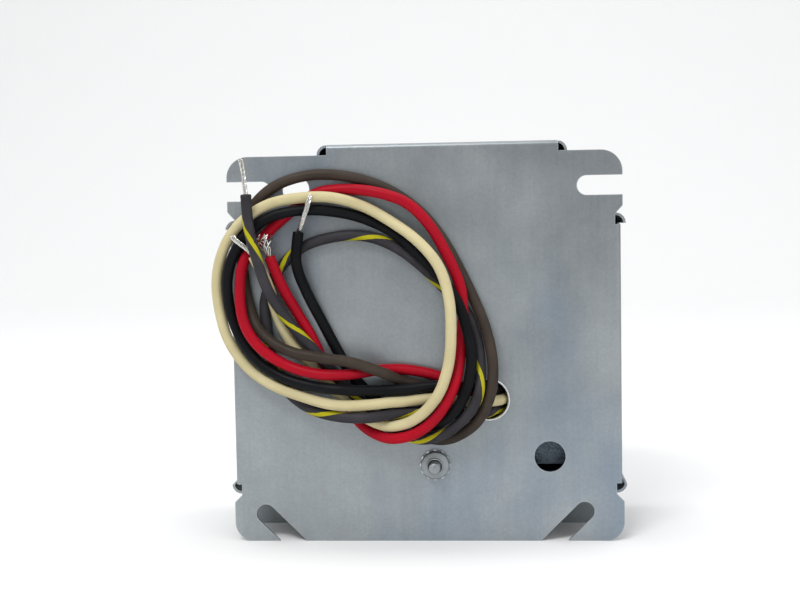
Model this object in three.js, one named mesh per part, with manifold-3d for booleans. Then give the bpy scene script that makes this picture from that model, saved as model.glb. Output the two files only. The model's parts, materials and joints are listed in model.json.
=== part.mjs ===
// Whole house surge protector: folded back plate with slotted ears, deep cover, board with its parts,
// sprung silence button, and five leads coiled over the back plate. Millimetres, +Z up.
// Plate coordinates: x = 0 at the plate's middle, y = 0 on its outer face (the leads lie at y < 0),
// z = 0 at its lower edge. The group is shifted along y so that the case is centred on the origin.
import * as THREE from "three";
import { mergeVertices } from "three/addons/utils/BufferGeometryUtils.js";
import Module from "manifold-3d";

const wasm = await Module();
wasm.setup();

// ---- driving dimensions -------------------------------------------------------------------------
const GAP = 0.3;
const SHEET = 1.2;
const PLATE_HALF = 76.2;
const EAR_TOP = 151;
const HEIGHT = 155;
const FLANGE_X = 75.5;
const FLANGE_DEPTH = 35;
const FLANGE_LOW = 22.5;
const FLANGE_HIGH = 122.5;
const TOP_LEFT = -37;
const TOP_RIGHT = 52;
const SLOT_RADIUS = 3.75;
const BEND = 1.6;
const WALL = 1;
const COVER_BACK = 1.6;
const COVER_FRONT = 63.5;
const COVER_RADIUS = 3.9;
const WALL_START = 25;
const CORNER_WALL = 27;
const BOARD_BACK = 40;
const BOARD_FRONT = 41.6;
const EXIT = { x: 24.4, z: 55.6, hole: 7.9, bore: 7.25 };
const BOND = { x: 3.2, z: 30.2, radius: 2.3, tip: -9 };
const BUTTON = { x: 30, z: 62, front: 65, travel: 1.5 };
const BLOCK = { face: 45.6, back: 62, low: 44.5, high: 67, near: 8, far: 24 };
const LEAD_DIAMETER = 4.2;
const STRAND_DIAMETER = 2;
const LEAD_CLEAR = 4.75;
const LEAD_LOW = 2.45;
const MIDDLE_Y = (BUTTON.front + BOND.tip) / 2;

const STEEL = { color: 0x8c9496, roughness: 0.45, metalness: 0.5 };
const BRIGHT = { color: 0xc4c6c8, roughness: 0.3, metalness: 0.9 };
const ZINC = { color: 0x8f979b, roughness: 0.4, metalness: 0.8 };
const DARK = { color: 0x1d1f22, roughness: 0.6, metalness: 0 };

const group = new THREE.Group();
group.name = "surge_protector";

function add(name, geometry, look, x = 0, y = 0, z = 0) {
  const mesh = new THREE.Mesh(geometry, new THREE.MeshStandardMaterial(look));
  mesh.name = name;
  mesh.position.set(x, y, z);
  group.add(mesh);
  return mesh;
}

// ---- solids -------------------------------------------------------------------------------------
function toSolid(geometry) {
  const bare = new THREE.BufferGeometry();
  const flat = geometry.index ? geometry.toNonIndexed() : geometry;
  bare.setAttribute("position", flat.getAttribute("position"));
  const merged = mergeVertices(bare, 1e-4);
  return new wasm.Manifold(
    new wasm.Mesh({
      numProp: 3,
      vertProperties: merged.attributes.position.array,
      triVerts: new Uint32Array(merged.index.array),
    }),
  );
}

function toGeometry(solid) {
  const mesh = solid.getMesh();
  const geometry = new THREE.BufferGeometry();
  geometry.setAttribute("position", new THREE.BufferAttribute(mesh.vertProperties, 3));
  geometry.setIndex(new THREE.BufferAttribute(mesh.triVerts, 1));
  const flat = geometry.toNonIndexed();
  flat.computeVertexNormals();
  return flat;
}

function join(...geometries) {
  return toGeometry(geometries.map(toSolid).reduce((a, b) => a.add(b)));
}

function cut(geometry, cutters) {
  return toGeometry(cutters.map(toSolid).reduce((a, b) => a.subtract(b), toSolid(geometry)));
}

// A box between two corners.
function block(low, high) {
  const size = low.map((v, i) => high[i] - v);
  const geometry = new THREE.BoxGeometry(...size);
  return geometry.translate(...low.map((v, i) => (v + high[i]) / 2));
}

// An outline drawn in x and z, as thick as y0 to y1.
function slab(shape, y0, y1) {
  const geometry = new THREE.ExtrudeGeometry(shape, {
    depth: y1 - y0,
    bevelEnabled: false,
    curveSegments: 10,
  });
  return geometry.rotateX(Math.PI / 2).translate(0, y1, 0);
}

// A turned piece with its axis along y. The profile is [radius, y] pairs.
function turned(profile, segments = 28) {
  const points = profile.map(([r, y]) => new THREE.Vector2(r, y));
  const area = points.reduce((sum, p, i) => sum + p.cross(points[(i + 1) % points.length]), 0);
  if (area < 0) points.reverse();
  if (profile[0][0] > 0) points.push(points[0].clone());
  return new THREE.LatheGeometry(points, segments);
}

function rod(radius, y0, y1, x = 0, z = 0, segments = 24) {
  return turned([[0, y0], [radius, y0], [radius, y1], [0, y1]], segments).translate(x, 0, z);
}

function rodAlongX(radius, x0, x1, y, z) {
  return rod(radius, x0, x1).rotateZ(-Math.PI / 2).translate(0, y, z);
}

// A slot with round ends between two points of the plate.
function slot(x0, z0, x1, z1, radius, y0, y1) {
  const long = Math.hypot(x1 - x0, z1 - z0);
  const shape = new THREE.Shape();
  shape.absarc(0, 0, radius, Math.PI / 2, 1.5 * Math.PI);
  shape.absarc(long, 0, radius, -Math.PI / 2, Math.PI / 2);
  const geometry = slab(shape, y0, y1);
  return geometry.rotateY(-Math.atan2(z1 - z0, x1 - x0)).translate(x0, 0, z0);
}

// ---- sheet-metal case ---------------------------------------------------------------------------
function plateOutline() {
  const low = 7.4;
  const high = 8.2;
  const notch = 73.3;
  const shape = new THREE.Shape();
  shape.moveTo(low - PLATE_HALF, 0);
  shape.absarc(PLATE_HALF - low, low, low, -Math.PI / 2, 0);
  shape.lineTo(PLATE_HALF, 15.4);
  shape.lineTo(notch, 18.3);
  shape.lineTo(notch, FLANGE_LOW);
  shape.lineTo(FLANGE_X, FLANGE_LOW);
  shape.lineTo(FLANGE_X, FLANGE_HIGH);
  shape.lineTo(notch, FLANGE_HIGH);
  shape.lineTo(notch, 126.5);
  shape.lineTo(PLATE_HALF, 129.7);
  shape.absarc(PLATE_HALF - high, EAR_TOP - high, high, 0, Math.PI / 2);
  shape.lineTo(TOP_RIGHT, EAR_TOP);
  shape.lineTo(TOP_RIGHT, HEIGHT);
  shape.lineTo(TOP_LEFT, HEIGHT);
  shape.lineTo(TOP_LEFT, EAR_TOP);
  shape.absarc(high - PLATE_HALF, EAR_TOP - high, high, Math.PI / 2, Math.PI);
  shape.lineTo(-PLATE_HALF, 129.7);
  shape.lineTo(-notch, 126.5);
  shape.lineTo(-notch, FLANGE_HIGH);
  shape.lineTo(-FLANGE_X, FLANGE_HIGH);
  shape.lineTo(-FLANGE_X, FLANGE_LOW);
  shape.lineTo(-notch, FLANGE_LOW);
  shape.lineTo(-notch, 18.3);
  shape.lineTo(-PLATE_HALF, 15.4);
  shape.absarc(low - PLATE_HALF, low, low, Math.PI, 1.5 * Math.PI);
  return shape;
}

const COVER_SCREWS = [[-1, 45], [-1, 100], [1, 45], [1, 100]];
const COVER_SCREW_Y = 30;

// What is taken off a folded edge at height z to leave a rounded bend.
function topBend(x0, x1, z) {
  const waste = block([x0, -1, z - BEND], [x1, BEND, z + 1]);
  return cut(waste, [rodAlongX(BEND, x0 - 1, x1 + 1, BEND, z - BEND)]);
}

// The same for an upright folded edge at x.
function sideBend(x, z0, z1) {
  const inwards = x - Math.sign(x) * BEND;
  const outwards = x + Math.sign(x);
  const waste = block(
    [Math.min(inwards, outwards), -1, z0],
    [Math.max(inwards, outwards), BEND, z1],
  );
  const round = rod(BEND, z0 - 1, z1 + 1).rotateX(Math.PI / 2).translate(inwards, BEND, 0);
  return cut(waste, [round]);
}

function makeRearPlate() {
  const side = FLANGE_X - SHEET;
  const body = join(
    slab(plateOutline(), 0, SHEET),
    block([side, 0.1, FLANGE_LOW], [FLANGE_X, FLANGE_DEPTH, FLANGE_HIGH]),
    block([-FLANGE_X, 0.1, FLANGE_LOW], [-side, FLANGE_DEPTH, FLANGE_HIGH]),
    block([TOP_LEFT, 0.1, HEIGHT - SHEET], [TOP_RIGHT, WALL_START - 0.4, HEIGHT]),
  );
  const through = [-1, SHEET + 1];
  const cutters = [
    topBend(TOP_LEFT - 1, TOP_RIGHT + 1, HEIGHT),
    sideBend(FLANGE_X, FLANGE_LOW, FLANGE_HIGH),
    sideBend(-FLANGE_X, FLANGE_LOW, FLANGE_HIGH),
    slot(62.7, 137.6, 90, 137.6, SLOT_RADIUS, ...through),
    slot(-90, 137.6, -62.7, 137.6, SLOT_RADIUS, ...through),
    slot(60.9, 11.6, 40.9, -8.4, SLOT_RADIUS, ...through),
    slot(-63.9, 10.8, -43.9, -9.2, SLOT_RADIUS, ...through),
    rod(5.25, ...through, -49.1, 137.9, 40),
    rod(6, ...through, 47.7, 33.1, 40),
    rod(EXIT.hole, ...through, EXIT.x, EXIT.z, 48),
    rod(BOND.radius + 0.5, ...through, BOND.x, BOND.z),
  ];
  for (const [sign, z] of COVER_SCREWS) {
    cutters.push(rodAlongX(1.7, sign > 0 ? 70 : -80, sign > 0 ? 80 : -70, COVER_SCREW_Y, z));
  }
  add("rear_plate", cut(body, cutters), STEEL);
}

// The cover's outline from behind, a broad cross. Each corner: x, z, and whether it points outwards.
const COVER_CORNERS = [
  [-45, 0, true], [41.5, 0, true], [41.5, 18.5, false], [77.5, 18.5, true],
  [77.5, 127, true], [55.5, 127, false], [55.5, 155, true], [-41, 155, true],
  [-41, 126.5, false], [-77.5, 126.5, true], [-77.5, 18.5, true], [-45, 18.5, false],
];

function coverOutline(inset) {
  const shape = new THREE.Shape();
  const count = COVER_CORNERS.length;
  COVER_CORNERS.forEach(([x, z, outward], i) => {
    const before = COVER_CORNERS[(i + count - 1) % count];
    const after = COVER_CORNERS[(i + 1) % count];
    const into = new THREE.Vector2(Math.sign(x - before[0]), Math.sign(z - before[1]));
    const out = new THREE.Vector2(Math.sign(after[0] - x), Math.sign(after[1] - z));
    const inner = new THREE.Vector2(x - (into.y + out.y) * inset, z + (into.x + out.x) * inset);
    const radius = outward ? COVER_RADIUS - inset : 0.6 + inset;
    const centre = inner.clone().addScaledVector(into, -radius).addScaledVector(out, radius);
    for (let k = 0; k <= 5; k++) {
      const turn = (k / 5) * (Math.PI / 2);
      const x1 = centre.x - out.x * radius * Math.cos(turn) + into.x * radius * Math.sin(turn);
      const z1 = centre.y - out.y * radius * Math.cos(turn) + into.y * radius * Math.sin(turn);
      if (i === 0 && k === 0) shape.moveTo(x1, z1);
      else shape.lineTo(x1, z1);
    }
  });
  shape.closePath();
  return shape;
}

const LED_PLACES = [[-18, 100], [0, 100], [18, 100]];
const BUZZER = [-30, 62];

function makeCover() {
  const tub = slab(coverOutline(0), COVER_BACK, COVER_FRONT);
  const cutters = [
    slab(coverOutline(WALL), COVER_BACK - 1, COVER_FRONT - WALL),
    block([70, 0, FLANGE_LOW - 0.4], [80, WALL_START, FLANGE_HIGH + 0.4]),
    block([-80, 0, FLANGE_LOW - 0.4], [-70, WALL_START, FLANGE_HIGH + 0.4]),
    block([TOP_LEFT - 0.4, 0, 150], [TOP_RIGHT + 0.4, WALL_START, 160]),
    rod(4.4, COVER_FRONT - 3, COVER_FRONT + 1, BUTTON.x, BUTTON.z),
  ];
  for (const [x, z] of LED_PLACES) cutters.push(rod(2.7, COVER_FRONT - 3, COVER_FRONT + 1, x, z));
  cutters.push(rod(1.1, COVER_FRONT - 3, COVER_FRONT + 1, ...BUZZER, 10));
  for (let k = 0; k < 6; k++) {
    const x = BUZZER[0] + 4 * Math.cos((k * Math.PI) / 3);
    const z = BUZZER[1] + 4 * Math.sin((k * Math.PI) / 3);
    cutters.push(rod(1.1, COVER_FRONT - 3, COVER_FRONT + 1, x, z, 10));
  }
  for (const [sign, z] of COVER_SCREWS) {
    cutters.push(rodAlongX(3.2, sign > 0 ? 70 : -80, sign > 0 ? 80 : -70, COVER_SCREW_Y, z));
  }
  const cornerWalls = [
    block([41.2, CORNER_WALL, 0.6], [73.5, CORNER_WALL + WALL, 19.2]),
    block([-73.5, CORNER_WALL, 0.6], [-44.7, CORNER_WALL + WALL, 19.2]),
  ];
  add("cover", join(cut(tub, cutters), ...cornerWalls), STEEL);
}

// A screw turned along y: head first, then shank, with a slot across the head.
function screw(head, headHeight, shank, length) {
  const body = turned([
    [0, 0],
    [head * 0.8, 0],
    [head, headHeight * 0.4],
    [head, headHeight],
    [shank, headHeight],
    [shank, length],
    [0, length],
  ], 20);
  return cut(body, [block([-head * 1.2, -1, -0.4], [head * 1.2, headHeight * 0.5, 0.4])]);
}

function makeCoverScrews() {
  COVER_SCREWS.forEach(([sign, z], i) => {
    const geometry = screw(2.9, 1.4, 1.4, 6).rotateZ((sign * Math.PI) / 2);
    add("cover_screw_" + (i + 1), geometry, ZINC, sign * 77.4, COVER_SCREW_Y, z);
  });
}

// ---- pieces on the back plate -------------------------------------------------------------------
function makeExitBushing() {
  const profile = [
    [EXIT.bore, 0.2],
    [8, -1],
    [8.3, -0.8],
    [8.3, -GAP],
    [EXIT.hole - 0.25, -GAP],
    [EXIT.hole - 0.25, SHEET + GAP],
    [8.3, SHEET + GAP],
    [8.3, 1.9],
    [8, 2],
    [EXIT.bore, 1],
  ];
  add("exit_bushing", turned(profile, 40), BRIGHT, EXIT.x, 0, EXIT.z);
}

function makeBondingPoint() {
  const r = BOND.radius;
  const stud = turned([
    [0, BOND.tip],
    [r - 0.6, BOND.tip],
    [r, BOND.tip + 0.6],
    [r, 4.6],
    [4.4, 4.6],
    [4.4, 6.6],
    [3.6, 7.6],
    [0, 7.6],
  ]);
  add("ground_screw", stud, ZINC, BOND.x, 0, BOND.z);

  const ring = turned([[r + 0.3, -GAP], [r + 0.3, -1.1], [5.1, -1.1], [5.1, -GAP]], 40);
  const notches = [];
  for (let k = 0; k < 12; k++) {
    const tooth = block([4.9, -1, -0.55], [6.1, -0.4, 0.55]);
    notches.push(tooth.rotateY((k * Math.PI) / 6));
  }
  add("star_washer", join(ring, ...notches), BRIGHT, BOND.x, 0, BOND.z);

  const nut = turned([
    [r + 0.3, -1.4],
    [5.4, -1.4],
    [5.5, -2.6],
    [5.1, -3.1],
    [3.3, -3.2],
    [3.2, -4.4],
    [r + 0.3, -4.5],
  ]);
  add("round_nut", nut, ZINC, BOND.x, 0, BOND.z);

  const eye = turned([[r + 0.3, 1.6], [5, 1.6], [5, 2.6], [r + 0.3, 2.6]], 32);
  const tongue = block([-1.5, 1.6, 4.4], [1.5, 2.6, 13]);
  add("ground_lug", join(eye, tongue), BRIGHT, BOND.x, 0, BOND.z);
}

function makeShieldBracket() {
  const low = 28.5;
  const high = 41;
  const geometry = join(
    block([38, 9, low], [59, 10, high]),
    block([58, 1.6, low], [59, 10, high]),
    block([58, 1.6, low], [66, 2.6, high]),
  );
  add("shield_bracket", geometry, ZINC);
}

// ---- board and its parts ------------------------------------------------------------------------
const BOARD_CORNERS = [[-56, 30], [56, 30], [-56, 114], [56, 114]];

function makeBoard() {
  const board = block([-62, BOARD_BACK, 24], [62, BOARD_FRONT, 120]);
  const holes = BOARD_CORNERS.map(([x, z]) => rod(1.8, BOARD_BACK - 1, BOARD_FRONT + 1, x, z));
  add("circuit_board", cut(board, holes), { color: 0x1f5b35, roughness: 0.5, metalness: 0 });
  BOARD_CORNERS.forEach(([x, z], i) => {
    const post = turned([
      [0, 62.2],
      [3.2, 62.2],
      [3.2, BOARD_FRONT + GAP],
      [1.7, BOARD_FRONT + GAP],
      [1.7, 50],
      [0, 50],
    ]);
    add("board_standoff_" + (i + 1), post, BRIGHT, x, 0, z);
    const shift = BOARD_BACK - GAP - 1.8;
    add("board_screw_" + (i + 1), screw(2.8, 1.8, 1.4, 9), ZINC, x, shift, z);
  });
}

function makeVaristors() {
  const radius = 9;
  const middle = BOARD_BACK - 1.5 - radius;
  let number = 1;
  for (const z of [62, 92]) {
    for (const x of [-50, -38, -26]) {
      const disc = turned([
        [0, -2.6],
        [radius - 1.2, -2.6],
        [radius, -1.4],
        [radius, 1.4],
        [radius - 1.2, 2.6],
        [0, 2.6],
      ]).rotateZ(Math.PI / 2);
      const foot = block([-1.6, radius - 2, -5], [1.6, radius + 1.5 - GAP, 5]);
      add("varistor_" + number, join(disc, foot), { color: 0x2b4f8f, roughness: 0.4 }, x, middle, z);
      number += 1;
    }
  }
}

function makeThermalFuses() {
  [58, 76, 94].forEach((z, i) => {
    const body = join(
      rodAlongX(2.4, -6, 6, 0, 0),
      rodAlongX(0.6, -8.5, 8.5, 0, 0),
      block([-8.5, -0.6, -0.6], [-7.3, 3.4, 0.6]),
      block([7.3, -0.6, -0.6], [8.5, 3.4, 0.6]),
    );
    add("thermal_fuse_" + (i + 1), body, { color: 0xb9a27a, roughness: 0.5 }, -8, 36, z);
  });
}

function makeCapacitor() {
  const body = block([5, 27, 86], [25, BOARD_BACK - GAP, 102]);
  add("filter_capacitor", body, { color: 0xc8a020, roughness: 0.4 });
}

const ENTRIES = [
  ["black", 12.5, 62.5],
  ["cream", 12.5, 55.5],
  ["grey", 12.5, 48.5],
  ["red", 18.5, 59],
  ["brown", 18.5, 52],
];

function makeTerminalBlock() {
  const { face, back, low, high, near, far } = BLOCK;
  const legs = [low, high - 4].flatMap((z) =>
    [face + 1, back - 4].map((x) => block([x, far - 1, z], [x + 3, BOARD_BACK - GAP, z + 4])),
  );
  const body = join(block([face, near, low], [back, far, high]), ...legs);
  const pockets = ENTRIES.map(([, y, z]) =>
    rod(2.6, near - 1, near + 2.5, y < 15 ? face + 5 : face + 12, z),
  );
  add("terminal_block", cut(body, pockets), DARK);
  ENTRIES.forEach(([, y, z], i) => {
    const x = y < 15 ? face + 5 : face + 12;
    const head = cut(rod(2.2, near + 0.3, near + 2.2, 0, 0), [
      block([-3, near - 1, -0.35], [3, near + 1.1, 0.35]),
    ]);
    add("terminal_screw_" + (i + 1), head, BRIGHT, x, 0, z);
  });
}

function makeSignals() {
  const start = BOARD_FRONT + GAP;
  const buzzer = turned([[0, start], [6.5, start], [6.5, 53], [5.5, 54], [1.2, 54], [1.2, 53], [0, 53]]);
  add("alarm_buzzer", buzzer, DARK, BUZZER[0], 0, BUZZER[1]);
  LED_PLACES.forEach(([x, z], i) => {
    const led = turned([[0, start], [2.9, start], [2.9, 43], [2.5, 43], [2.5, 45.5], [1.6, 47.2], [0, 47.8]]);
    add("status_led_" + (i + 1), led, { color: 0x9be09b, roughness: 0.3 }, x, 0, z);
    const lens = turned([
      [0, 48.2],
      [2.3, 48.2],
      [2.3, 60.8],
      [3.8, 60.8],
      [3.8, 62.2],
      [2.3, 62.2],
      [2.3, 63.6],
      [1.5, 64.4],
      [0, 64.6],
    ]);
    add("led_lens_" + (i + 1), lens, { color: 0xdfe8df, roughness: 0.15 }, x, 0, z);
  });
}

function makeSilenceButton() {
  const { x, z, front } = BUTTON;
  const button = turned([
    [0, 51.5],
    [1.5, 51.5],
    [1.5, 59.5],
    [5.6, 59.5],
    [5.6, 62.2],
    [4, 62.2],
    [4, front - 0.6],
    [3.4, front],
    [0, front],
  ]);
  add("alarm_button", button, DARK, x, 0, z);
  const housing = join(
    block([-6, BOARD_FRONT + GAP, -6], [6, 48.3, 6]),
    rod(1.3, 48, 49.7),
  );
  add("button_switch", housing, { color: 0x2a2d30, roughness: 0.5 }, x, 0, z);
  const turns = 5;
  const points = [];
  for (let k = 0; k <= turns * 12; k++) {
    const angle = (k / 12) * 2 * Math.PI;
    const y = 49.1 + (8.2 * k) / (turns * 12);
    points.push(new THREE.Vector3(3 * Math.cos(angle), y, 3 * Math.sin(angle)));
  }
  add("button_spring", tube(points, 0.7, 6), BRIGHT, x, 0, z);
}

// ---- leads --------------------------------------------------------------------------------------
// Each route starts at the terminal block and ends where its insulation ends.
const ROUTES = {
  cream: [
    [45, 12.5, 55.5], [33.5, 9, 55.5], [26, -1.5, 55.5], [15.5, -7, 55.5], [3, -7, 56.5],
    [-9.5, -8, 55], [-22, -11.5, 54.5], [-34.5, -11.5, 55], [-46.5, -8.5, 58], [-58.5, -6.5, 62.5],
    [-68.5, -4, 69], [-76, -2.5, 79], [-79.5, -2.5, 90.5], [-80.5, -2.5, 103.5], [-77, -4.5, 115.5],
    [-70, -7, 125], [-59, -7, 132], [-46.5, -7, 134.5], [-34.5, -6.5, 134.5], [-22.5, -5.5, 131],
    [-11, -7, 124.5], [-1.5, -10, 117.5], [6.5, -12.5, 108], [10.5, -14, 96], [11, -14.5, 83.5],
    [10, -15.5, 71], [6, -15.5, 59], [-2.5, -12.5, 50.5], [-14, -8, 47.5], [-25, -7, 52],
    [-34.5, -7, 61], [-43, -5, 70], [-51.5, -3, 78.5], [-57, -3, 89.5], [-59.5, -7.5, 101.5],
    [-64.5, -10, 113],
  ],
  black: [
    [45, 12.5, 62.5], [33.5, 9, 61.5], [26, 0, 59.5], [16, -7, 60.5], [4, -7, 61.5],
    [-8.5, -7.5, 60.5], [-20.5, -9.5, 60.5], [-32.5, -12, 61.5], [-44.5, -9.5, 63],
    [-56, -7.5, 66.5], [-66, -6, 73.5], [-72.5, -5, 84], [-75.5, -5, 96], [-74.5, -6, 108],
    [-68.5, -7.5, 119], [-59.5, -7.5, 127], [-48, -7, 130], [-35.5, -5, 129.5], [-23.5, -3, 126.5],
    [-12.5, -3, 121], [-3.5, -6, 114], [5, -7.5, 105], [12.5, -10.5, 95.5], [16.5, -11.5, 84.5],
    [18, -11.5, 72], [15.5, -13.5, 60], [9, -11, 50], [1, -4, 45], [-10.5, -2.5, 48.5],
    [-20.5, -2.5, 56], [-28.5, -2.5, 64.5], [-34.5, -2.5, 75.5], [-40, -2.5, 87], [-45, -4.5, 98],
    [-48.5, -7, 109.5], [-47.5, -7, 121.5],
  ],
  red: [
    [45, 18.5, 59], [33, 16, 59], [24.5, 7, 58.5], [17.5, -3.5, 59.5], [6.5, -3, 64.5],
    [-5.5, -2.5, 67], [-17.5, -4.5, 67.5], [-28.5, -10.5, 67], [-40.5, -11.5, 67.5],
    [-52.5, -9.5, 71], [-62.5, -9.5, 78], [-69, -8.5, 88.5], [-70.5, -7, 101], [-68.5, -6.5, 112.5],
    [-60.5, -3.5, 121.5], [-51, -2.5, 129.5], [-41, -2.5, 136.5], [-28.5, -3.5, 138],
    [-17, -6.5, 136.5], [-5.5, -7, 132], [3, -7, 123], [9, -7, 112], [13.5, -7, 100.5],
    [14.5, -6.5, 88.5], [14, -8, 76], [12.5, -12, 64.5], [7, -13, 53.5], [-2.5, -11, 45.5],
    [-13.5, -8, 43.5], [-24, -3, 47.5], [-31.5, -2.5, 57.5], [-38, -2.5, 68.5], [-43, -2.5, 79.5],
    [-49, -3, 90], [-54.5, -6.5, 100.5], [-59, -8, 112],
  ],
  brown: [
    [45, 18.5, 52], [33, 16, 52.5], [24.5, 7, 53], [16.5, -2.5, 55], [5, -2.5, 60], [-7, -3.5, 63],
    [-16.5, -10, 68], [-28, -12, 72], [-41, -12, 74], [-53, -9.5, 76.5], [-63, -6.5, 83],
    [-68, -3, 93.5], [-70, -2.5, 106], [-70.5, -2.5, 119], [-66.5, -2.5, 130.5], [-57.5, -2.5, 139],
    [-45.5, -2.5, 143], [-33, -2.5, 143], [-20.5, -2.5, 140], [-9.5, -2.5, 135], [0.5, -2.5, 127],
    [8, -2.5, 117], [14, -2.5, 105.5], [19, -3, 94], [23, -5.5, 82.5], [25, -8, 70.5],
    [23.5, -10, 58.5], [17, -6, 48], [7, -2.5, 42], [-5, -2.5, 43.5],
  ],
  grey: [
    [45, 12.5, 48.5], [33.5, 9, 49.5], [26, -0.5, 51.5], [15.5, -6.5, 51], [3, -7, 52],
    [-9.5, -8, 51.5], [-20.5, -12, 50.5], [-33, -10.5, 51], [-44.5, -6, 53.5], [-54, -2.5, 60],
    [-59.5, -2.5, 71], [-61.5, -2.5, 83.5], [-61.5, -2.5, 96], [-56, -2.5, 107], [-47, -2.5, 115.5],
    [-35, -2.5, 119.5], [-22.5, -2.5, 120], [-11, -2.5, 116], [-1.5, -2.5, 109], [7.5, -2.5, 100],
    [16, -2.5, 91], [20.5, -4, 79.5], [21, -7.5, 67.5], [18.5, -12, 56.5], [10.5, -8.5, 48],
    [-0.5, -7, 43], [-12, -3.5, 45], [-22.5, -2.5, 52], [-30.5, -3.5, 61.5], [-38, -7, 71],
    [-46, -7, 80], [-53.5, -7.5, 89.5], [-59, -12, 100], [-62.5, -14, 111.5], [-65.5, -13, 123.5],
    [-66.5, -12, 136],
  ],
};

// The stripped strands, as steps from the end of the insulation.
const STRANDS = {
  cream: [[-2.5, -0.8, 3], [-5.5, -1.2, 5.5], [-8, -1, 8]],
  black: [[1.5, -2, 3], [3, -3.5, 6.5], [4.5, -4, 10.5], [5.5, -3.5, 14.5]],
  red: [[-1, -1, 3], [-1.5, -1.5, 5.5], [-1.5, -1.5, 9]],
  brown: [[-3.5, 1, 0], [-7, 1, 0.5], [-11, 1, 1]],
  grey: [[-0.5, 0.5, 4], [-1, 1, 9], [-2, 1, 14]],
};

const LEAD_LOOKS = {
  cream: { color: 0xdcd2aa, roughness: 0.4 },
  black: { color: 0x232528, roughness: 0.35 },
  red: { color: 0xb01e30, roughness: 0.35 },
  brown: { color: 0x4a4038, roughness: 0.35 },
  grey: { color: 0x706f75, roughness: 0.4 },
};

const SAMPLES = 240;
const HELD = 6;
const ROUNDS = 160;

// A smooth line through the chosen points, at evenly spaced samples.
function evenLine(route) {
  const p = route.map((v) => new THREE.Vector3(...v));
  p.unshift(p[0].clone().multiplyScalar(2).sub(p[1]));
  p.push(p[p.length - 1].clone().multiplyScalar(2).sub(p[p.length - 2]));
  const fine = [];
  for (let i = 0; i + 3 < p.length; i++) {
    for (let k = 0; k < 12; k++) fine.push(catmull(p[i], p[i + 1], p[i + 2], p[i + 3], k / 12));
  }
  fine.push(p[p.length - 2].clone());
  const run = [0];
  for (let i = 1; i < fine.length; i++) run.push(run[i - 1] + fine[i].distanceTo(fine[i - 1]));
  const line = [];
  let i = 0;
  for (let k = 0; k <= SAMPLES; k++) {
    const s = (run[run.length - 1] * k) / SAMPLES;
    while (i < fine.length - 2 && run[i + 1] < s) i++;
    line.push(fine[i].clone().lerp(fine[i + 1], (s - run[i]) / (run[i + 1] - run[i])));
  }
  return line;
}

function catmull(a, b, c, d, t) {
  const at = (k) => {
    const slope = c[k] - a[k];
    const bend = 2 * a[k] - 5 * b[k] + 4 * c[k] - d[k];
    const twist = 3 * b[k] - a[k] - 3 * c[k] + d[k];
    return 0.5 * (2 * b[k] + slope * t + bend * t * t + twist * t * t * t);
  };
  return new THREE.Vector3(at("x"), at("y"), at("z"));
}

// Leads that would run through each other are pushed apart, a little at a time, until they lie clear.
function settle(lines) {
  const points = lines.flat();
  const start = points.map((p) => p.clone());
  const pairs = nearbyPairs(start);
  for (let round = 0; round < ROUNDS; round++) {
    pushApart(points, pairs);
    const passes = round < ROUNDS - 25 ? 2 : 1;
    for (let pass = 0; pass < passes; pass++) smoothShift(points, start);
    for (const p of points) keepOffPlate(p);
  }
  return lines.map((line, w) => points.slice(w * line.length, (w + 1) * line.length));
}

function nearbyPairs(points) {
  const pairs = [];
  const count = SAMPLES + 1;
  for (let i = 0; i < points.length; i++) {
    for (let j = i + 1; j < points.length; j++) {
      const sameLead = Math.floor(i / count) === Math.floor(j / count);
      if (sameLead && j - i < 12) continue;
      if (points[i].distanceTo(points[j]) < LEAD_CLEAR + 5) pairs.push([i, j]);
    }
  }
  return pairs;
}

function pushApart(points, pairs) {
  const total = points.map(() => new THREE.Vector3());
  const most = new Float64Array(points.length);
  const step = new THREE.Vector3();
  for (const [i, j] of pairs) {
    step.subVectors(points[i], points[j]);
    const gap = step.length() + 1e-9;
    if (gap >= LEAD_CLEAR) continue;
    const half = (LEAD_CLEAR - gap) / 2;
    step.multiplyScalar(half / gap);
    total[i].add(step);
    total[j].sub(step);
    most[i] = Math.max(most[i], half);
    most[j] = Math.max(most[j], half);
  }
  total.forEach((t, i) => points[i].add(t.clampLength(0, most[i] + 1e-12)));
}

// The shift of each sample is shared with its neighbours, which keeps the bends gentle.
function smoothShift(points, start) {
  const count = SAMPLES + 1;
  const shift = points.map((p, i) => p.clone().sub(start[i]));
  points.forEach((p, i) => {
    const along = i % count;
    if (along < HELD) {
      p.copy(start[i]);
      return;
    }
    const before = shift[i - 1];
    const after = shift[along === count - 1 ? i : i + 1];
    p.copy(start[i]).addScaledVector(before, 0.25);
    p.addScaledVector(shift[i], 0.5).addScaledVector(after, 0.25);
  });
}

function keepOffPlate(p) {
  const away = Math.hypot(p.x - EXIT.x, p.z - EXIT.z);
  const low = away < 10.5 ? LEAD_LOW + 0.9 : LEAD_LOW;
  if (p.y < 1 && away > 5.5) p.y = Math.min(p.y, -low);
  const most = EXIT.bore - LEAD_DIAMETER / 2 - 0.4;
  if (Math.abs(p.y) < 2.2 && away < 7 && away > most) {
    p.x = EXIT.x + ((p.x - EXIT.x) * most) / away;
    p.z = EXIT.z + ((p.z - EXIT.z) * most) / away;
  }
}

function tube(points, diameter, sides) {
  const section = new THREE.Shape();
  for (let k = 0; k < sides; k++) {
    const angle = (k / sides) * 2 * Math.PI;
    const x = (diameter / 2) * Math.cos(angle);
    const y = (diameter / 2) * Math.sin(angle);
    if (k === 0) section.moveTo(x, y);
    else section.lineTo(x, y);
  }
  section.closePath();
  const path = new THREE.CatmullRomCurve3(points, false, "catmullrom", 0.5);
  return new THREE.ExtrudeGeometry(section, { steps: points.length - 1, extrudePath: path });
}

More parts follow.
